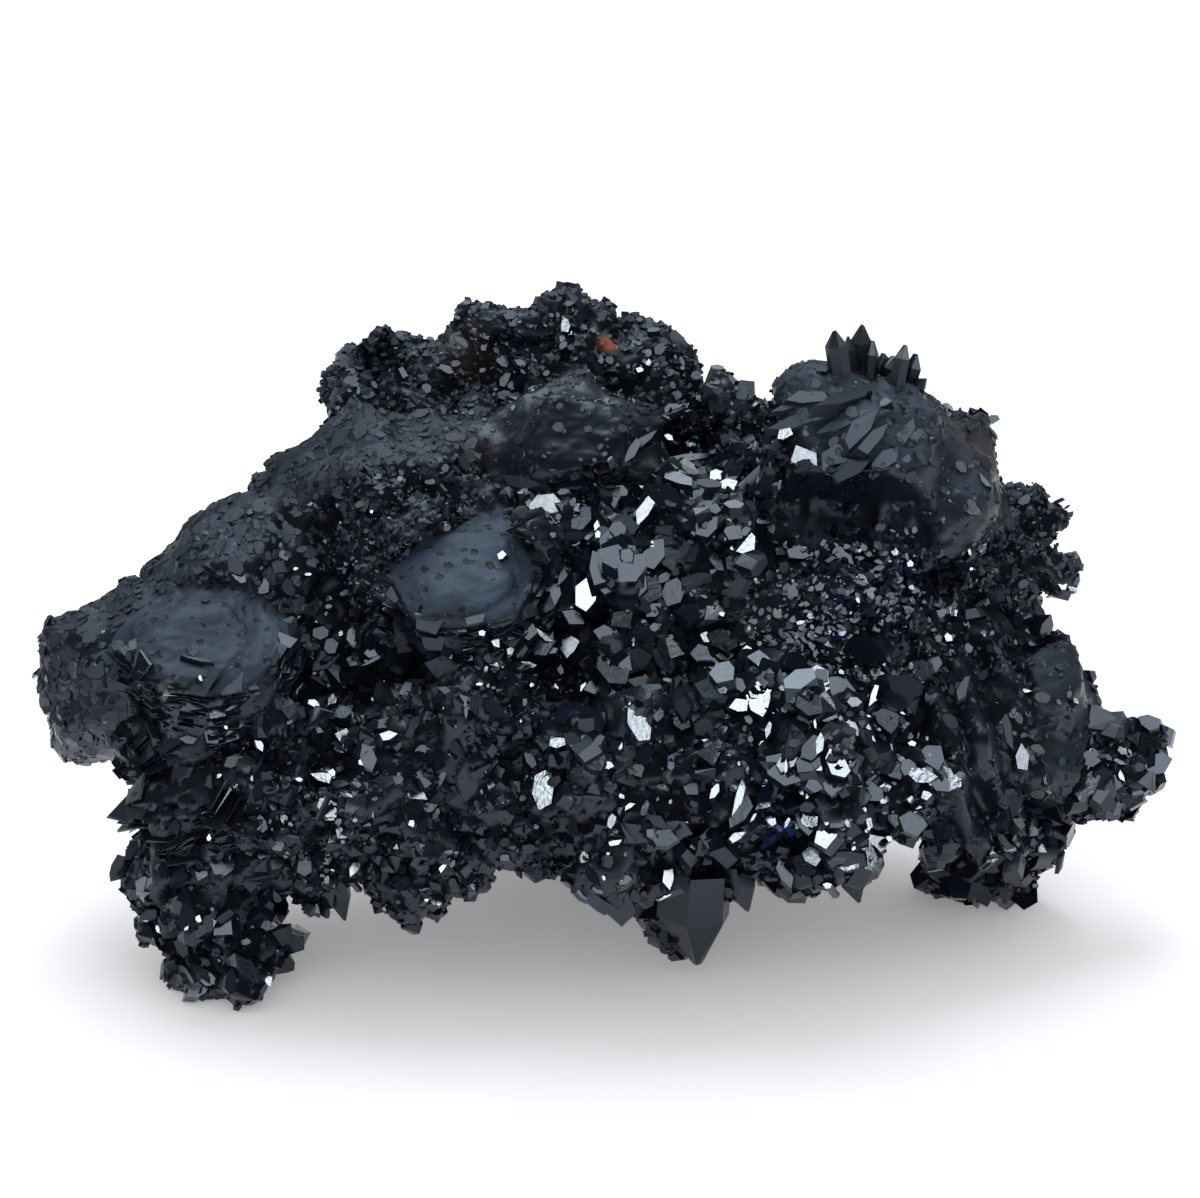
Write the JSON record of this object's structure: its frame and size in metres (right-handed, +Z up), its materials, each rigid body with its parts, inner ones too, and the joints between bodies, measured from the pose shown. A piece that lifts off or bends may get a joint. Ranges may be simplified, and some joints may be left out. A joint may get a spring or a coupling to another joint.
{
  "type": "azurite specimen",
  "caption": "Natural cluster of dark blue azurite: rounded rosettes of stacked blades and lumps of tabular crystals grown into one piece, resting on low feet.",
  "frame": {"origin": "under the middle of the specimen's box, on the surface that it rests on", "axes": "+X along the longest way, to the right as pictured, +Y away from the pictured side, +Z up"},
  "size_m": [0.081, 0.0422, 0.0438],
  "materials": {
    "azurite": "glossy near-black blue crystal faces, frosted slate blue on top"
  },
  "bodies": {
    "root": {"azurite": "azurite"}
  },
  "joints": []
}
